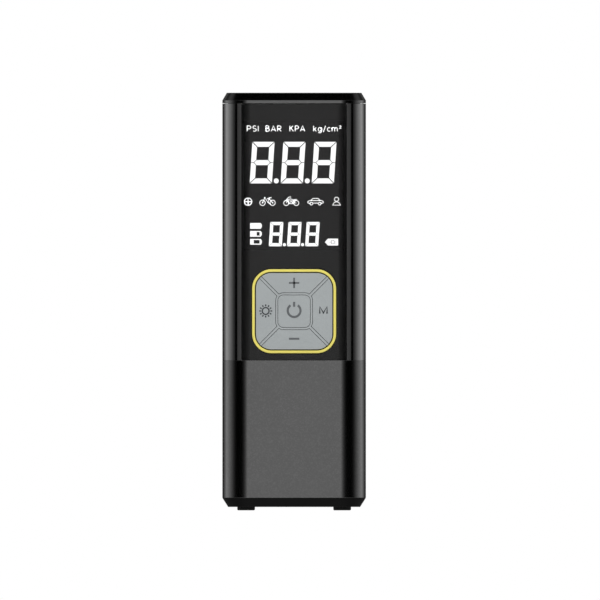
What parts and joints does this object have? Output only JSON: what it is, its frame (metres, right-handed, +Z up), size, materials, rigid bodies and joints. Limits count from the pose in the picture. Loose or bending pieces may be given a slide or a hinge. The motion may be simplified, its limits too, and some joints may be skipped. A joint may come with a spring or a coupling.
{
  "type": "portable tire inflator",
  "caption": "Cordless tower-shaped tyre inflator with a digital gauge, a square key pad, an air outlet and a lamp on top, and a crank-driven piston pump inside.",
  "frame": {"origin": "on the floor plane under the middle of the case, at the bottom centre of the overall box", "axes": "+Z up, -Y towards the front with the display and keys, +X to the right seen from the front"},
  "size_m": [0.055, 0.055, 0.16],
  "materials": {
    "satin_grey": "satin, fine-textured ABS",
    "base_black": "satin black ABS",
    "gloss_black": "high-gloss black ABS",
    "smoked_lens": "smoked polycarbonate, polished",
    "display_black": "black display frame",
    "display_lit": "lit light guides",
    "ring_yellow": "satin yellow ABS",
    "key_grey": "satin grey key caps",
    "frame_grey": "satin grey key frame",
    "silicone_grey": "moulded silicone",
    "black_plastic": "black nylon",
    "board_green": "solder mask on glass-epoxy board",
    "screw_steel": "zinc-plated steel",
    "sensor_white": "white sensor housing",
    "clear_silicone": "translucent silicone tube",
    "lamp_clear": "clear polycarbonate",
    "board_white": "white solder mask",
    "led_yellow": "phosphor over the LED",
    "socket_steel": "drawn stainless steel",
    "cell_blue": "shrink sleeve over a metal can",
    "nickel": "nickel strip",
    "lead_red": "silicone wire sleeve",
    "motor_steel": "plated motor can",
    "magnet_grey": "ferrite",
    "copper": "enamelled copper on laminations",
    "shaft_steel": "ground steel",
    "brass": "machined brass",
    "cast_alloy": "die-cast aluminium",
    "rubber_black": "moulded rubber",
    "acetal_white": "moulded acetal",
    "bronze": "sintered bronze",
    "ptfe_white": "PTFE ring",
    "piston_alloy": "machined aluminium",
    "valve_steel": "blued spring steel"
  },
  "bodies": {
    "case": {"lower_sleeve": "satin_grey", "upper_sleeve": "gloss_black", "top_cap": "satin_grey", "base_cap": "base_black", "feet": "rubber_black", "case_screws": "screw_steel", "lens_panel": "smoked_lens", "display_housing": "display_black", "display_segments": "display_lit", "keypad_bezel": "ring_yellow", "key_frame": "frame_grey", "key_membrane": "silicone_grey", "key_switches": "black_plastic", "control_board": "board_green", "board_parts": "black_plastic", "small_screws": "screw_steel", "pressure_sensor": "sensor_white", "sensor_tube": "clear_silicone", "lamp_lens": "lamp_clear", "lamp_board": "board_white", "lamp_leds": "led_yellow", "charge_board": "board_green", "usb_c_socket": "socket_steel", "battery_cells": "cell_blue", "battery_tabs": "nickel", "battery_holder": "black_plastic", "power_leads": "lead_red", "motor_can": "motor_steel", "motor_end_cap": "black_plastic", "motor_magnets": "magnet_grey", "pump_frame": "cast_alloy", "pump_isolators": "rubber_black", "pump_screws": "screw_steel", "crank_axle": "shaft_steel", "pump_cylinder": "cast_alloy", "head_gasket": "rubber_black", "cylinder_head": "cast_alloy", "head_screws": "screw_steel", "valve_spring": "shaft_steel", "valve_nipple": "brass", "air_tube": "clear_silicone", "outlet_fitting": "brass", "outlet_nut": "screw_steel"},
    "key_plus": {"key_plus": "key_grey"},
    "key_minus": {"key_minus": "key_grey"},
    "key_light": {"key_light": "key_grey"},
    "key_mode": {"key_mode": "key_grey"},
    "key_power": {"key_power": "key_grey"},
    "motor_rotor": {"motor_shaft": "shaft_steel", "motor_armature": "copper", "motor_pinion": "brass"},
    "crank": {"crank_gear": "acetal_white", "gear_bush": "bronze", "crank_pin": "shaft_steel"},
    "piston": {"piston": "piston_alloy", "piston_ring": "ptfe_white", "wrist_pin": "shaft_steel", "intake_flap": "valve_steel"},
    "rod": {"connecting_rod": "acetal_white"},
    "outlet_valve": {"valve_disc": "rubber_black"}
  },
  "joints": [
    {"name": "key_plus_press", "type": "slide", "parent": "case", "child": "key_plus", "axis": [0, 1, 0], "range_m": [0, 0.0005], "stiffness_N_per_m": 1500},
    {"name": "key_minus_press", "type": "slide", "parent": "case", "child": "key_minus", "axis": [0, 1, 0], "range_m": [0, 0.0005], "stiffness_N_per_m": 1500},
    {"name": "key_light_press", "type": "slide", "parent": "case", "child": "key_light", "axis": [0, 1, 0], "range_m": [0, 0.0005], "stiffness_N_per_m": 1500},
    {"name": "key_mode_press", "type": "slide", "parent": "case", "child": "key_mode", "axis": [0, 1, 0], "range_m": [0, 0.0005], "stiffness_N_per_m": 1500},
    {"name": "key_power_press", "type": "slide", "parent": "case", "child": "key_power", "axis": [0, 1, 0], "range_m": [0, 0.0005], "stiffness_N_per_m": 1500},
    {"name": "motor_spin", "type": "hinge", "parent": "case", "child": "motor_rotor", "pos_m": [-0.0126, 0.0126, 0.0957], "axis": [0, 0, 1], "continuous": true},
    {"name": "crank_spin", "type": "hinge", "parent": "case", "child": "crank", "pos_m": [-0.0126, -0.0015, 0.1106], "axis": [0, 0, 1], "continuous": true},
    {"name": "piston_slide", "type": "slide", "parent": "case", "child": "piston", "axis": [1, 0, 0], "range_m": [-0.008, 0]},
    {"name": "rod_swing", "type": "hinge", "parent": "piston", "child": "rod", "pos_m": [0.0114, -0.0015, 0.1191], "axis": [0, 0, 1], "range_deg": [-11.5, 11.5]},
    {"name": "valve_lift", "type": "slide", "parent": "case", "child": "outlet_valve", "axis": [0, 0, 1], "range_m": [0, 0.0008], "stiffness_N_per_m": 120, "deforming": ["valve_spring"]}
  ],
  "couplings": [
    {"joint": "crank_spin", "follows": "motor_spin", "ratio": -0.23684}
  ]
}
